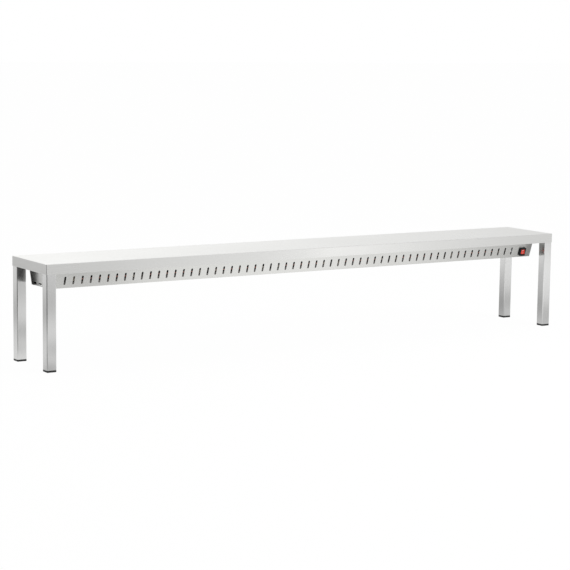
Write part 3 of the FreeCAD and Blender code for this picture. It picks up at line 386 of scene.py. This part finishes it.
def studio_glow(tree, direction):
    """How bright the studio is in a direction, whatever its height."""
    level = vector_math(tree, "NORMALIZE", vector_math(tree, "MULTIPLY", direction, ALONG_FLOOR))
    total = STUDIO_LEVEL
    for way, sharpness, gain in STUDIO_PATCHES:
        ahead = scalar_math(tree, "MAXIMUM", vector_math(tree, "DOT_PRODUCT", level, way), 0.0)
        total = scalar_math(tree, "MULTIPLY_ADD", scalar_math(tree, "POWER", ahead, sharpness), gain, total)
    return total


def mirrored_level(tree, rays, glow):
    """The glow as the steel mirrors it: dimmer where the steel mirrors it twice."""
    twice = scalar_math(tree, "GREATER_THAN", rays["Glossy Depth"], SECOND_MIRROR_LIMIT)
    return scalar_math(tree, "MULTIPLY", mixed(tree, "FLOAT", twice, 1.0, SECOND_MIRROR_SHARE), glow)


def seen_plainly(tree, rays):
    """1 for what the camera sees, straight or through glass; 0 for gloss and scattered light."""
    return scalar_math(tree, "MAXIMUM", rays["Is Camera Ray"], rays["Is Transmission Ray"])


# Floor, light and camera

FLOOR_HALF_SIDE = 60.0
FLOOR_PAINT = "f2f2f0"
WHITE_LEVEL = 1.0
WHITE_SHARE = 0.97          # of what the camera sees of the floor; the rest is paint that takes the shadow
KEY_PLACE = (2.8, -4.0, 3.4)
KEY_TARGET = (0.2, 0, 0.3)
KEY_WIDTH = 4.0
KEY_HEIGHT = 3.0
KEY_POWER = 170             # watts


def floor_glow(tree, place):
    """How bright the floor is where the steel mirrors it."""
    oval = add_node(tree, "ShaderNodeMapping",
                    {"Vector": place, "Location": OVAL_SHIFT, "Scale": OVAL_SCALE}).outputs[0]
    far_share = smooth(tree, vector_math(tree, "LENGTH", oval), OVAL_START, OVAL_END)
    glow = mixed(tree, "FLOAT", far_share, NEAR_FLOOR_LEVEL, studio_glow(tree, place))
    for middle, radius, gain in FLOOR_PATCHES:
        away = vector_math(tree, "DISTANCE", place, middle)
        glow = scalar_math(tree, "ADD", smooth(tree, away, 0.0, radius, low=gain, high=0.0), glow)
    return scalar_math(tree, "MAXIMUM", glow, LEAST_FLOOR_LEVEL)


def backdrop_floor():
    """Pale floor. Most of what the camera sees of it is plain white, the rest takes the shadow."""
    mesh = bpy.data.meshes.new("floor")
    shape = bmesh.new()
    bmesh.ops.create_grid(shape, x_segments=1, y_segments=1, size=FLOOR_HALF_SIDE)
    shape.to_mesh(mesh)
    shape.free()
    floor = bpy.data.objects.new("floor", mesh)
    bpy.context.scene.collection.objects.link(floor)
    material = bpy.data.materials.new("matt_white_floor")
    material.use_nodes = True
    tree = material.node_tree
    tree.nodes.clear()
    rays = add_node(tree, "ShaderNodeLightPath").outputs
    paint = add_node(tree, "ShaderNodeBsdfDiffuse", {"Color": linear(FLOOR_PAINT)})
    white = add_node(tree, "ShaderNodeEmission", {"Strength": WHITE_LEVEL})
    mirrored = add_node(tree, "ShaderNodeEmission",
                        {"Strength": mirrored_level(tree, rays, floor_glow(tree, object_place(tree)))})
    white_share = scalar_math(tree, "MULTIPLY", seen_plainly(tree, rays), WHITE_SHARE)
    plain = add_node(tree, "ShaderNodeMixShader",
                     {0: white_share, 1: paint.outputs[0], 2: white.outputs[0]})
    surface = add_node(tree, "ShaderNodeMixShader",
                       {0: rays["Is Glossy Ray"], 1: plain.outputs[0], 2: mirrored.outputs[0]})
    add_node(tree, "ShaderNodeOutputMaterial", {"Surface": surface.outputs[0]})
    mesh.materials.append(material)


def studio_world():
    """Soft surroundings: plain white where they are seen, and the studio's own light in the gloss."""
    world = bpy.data.worlds.new("studio")
    bpy.context.scene.world = world
    world.use_nodes = True
    tree = world.node_tree
    tree.nodes.clear()
    direction = add_node(tree, "ShaderNodeTexCoord").outputs["Generated"]
    rays = add_node(tree, "ShaderNodeLightPath").outputs
    ceiling = smooth(tree, split(tree, direction)["Z"], CEILING_START, CEILING_END)
    glow = mixed(tree, "FLOAT", ceiling, studio_glow(tree, direction), CEILING_LEVEL)
    strength = mixed(tree, "FLOAT", seen_plainly(tree, rays), mirrored_level(tree, rays, glow), WHITE_LEVEL)
    sky = add_node(tree, "ShaderNodeBackground", {"Color": (1, 1, 1, 1), "Strength": strength})
    add_node(tree, "ShaderNodeOutputWorld", {"Surface": sky.outputs[0]})


def softbox(name, place, target, width, height, power):
    """A rectangular lamp that points at its target."""
    light = bpy.data.lights.new(name, "AREA")
    light.shape = "RECTANGLE"
    light.size = width
    light.size_y = height
    light.energy = power
    holder = bpy.data.objects.new(name, light)
    bpy.context.scene.collection.objects.link(holder)
    holder.location = place
    holder.visible_glossy = False   # the studio's white panel stands for it in the gloss
    holder.rotation_euler = (Vector(target) - Vector(place)).to_track_quat("-Z", "Y").to_euler()


def photo_camera():
    """The photograph's viewpoint and lens."""
    data = bpy.data.cameras.new("camera")
    data.sensor_width = SENSOR_WIDTH
    data.lens = FOCAL_PIXELS / PHOTO_SIDE * SENSOR_WIDTH
    data.clip_end = FARTHEST_VIEW
    camera = bpy.data.objects.new("camera", data)
    bpy.context.scene.collection.objects.link(camera)
    forward = Vector((math.sin(CAMERA_YAW) * math.cos(CAMERA_PITCH),
                      math.cos(CAMERA_YAW) * math.cos(CAMERA_PITCH), -math.sin(CAMERA_PITCH)))
    level = Vector((math.cos(CAMERA_YAW), -math.sin(CAMERA_YAW), 0))
    upright = level.cross(forward)
    right = level * math.cos(CAMERA_ROLL) + upright * math.sin(CAMERA_ROLL)
    up = upright * math.cos(CAMERA_ROLL) - level * math.sin(CAMERA_ROLL)
    turn = Matrix((right, up, -forward)).transposed()
    camera.matrix_world = Matrix.Translation(CAMERA_PLACE) @ turn.to_4x4()
    bpy.context.scene.camera = camera


backdrop_floor()
studio_world()
softbox("key", KEY_PLACE, KEY_TARGET, KEY_WIDTH, KEY_HEIGHT, KEY_POWER)
photo_camera()
bpy.context.scene.view_settings.view_transform = "Standard"
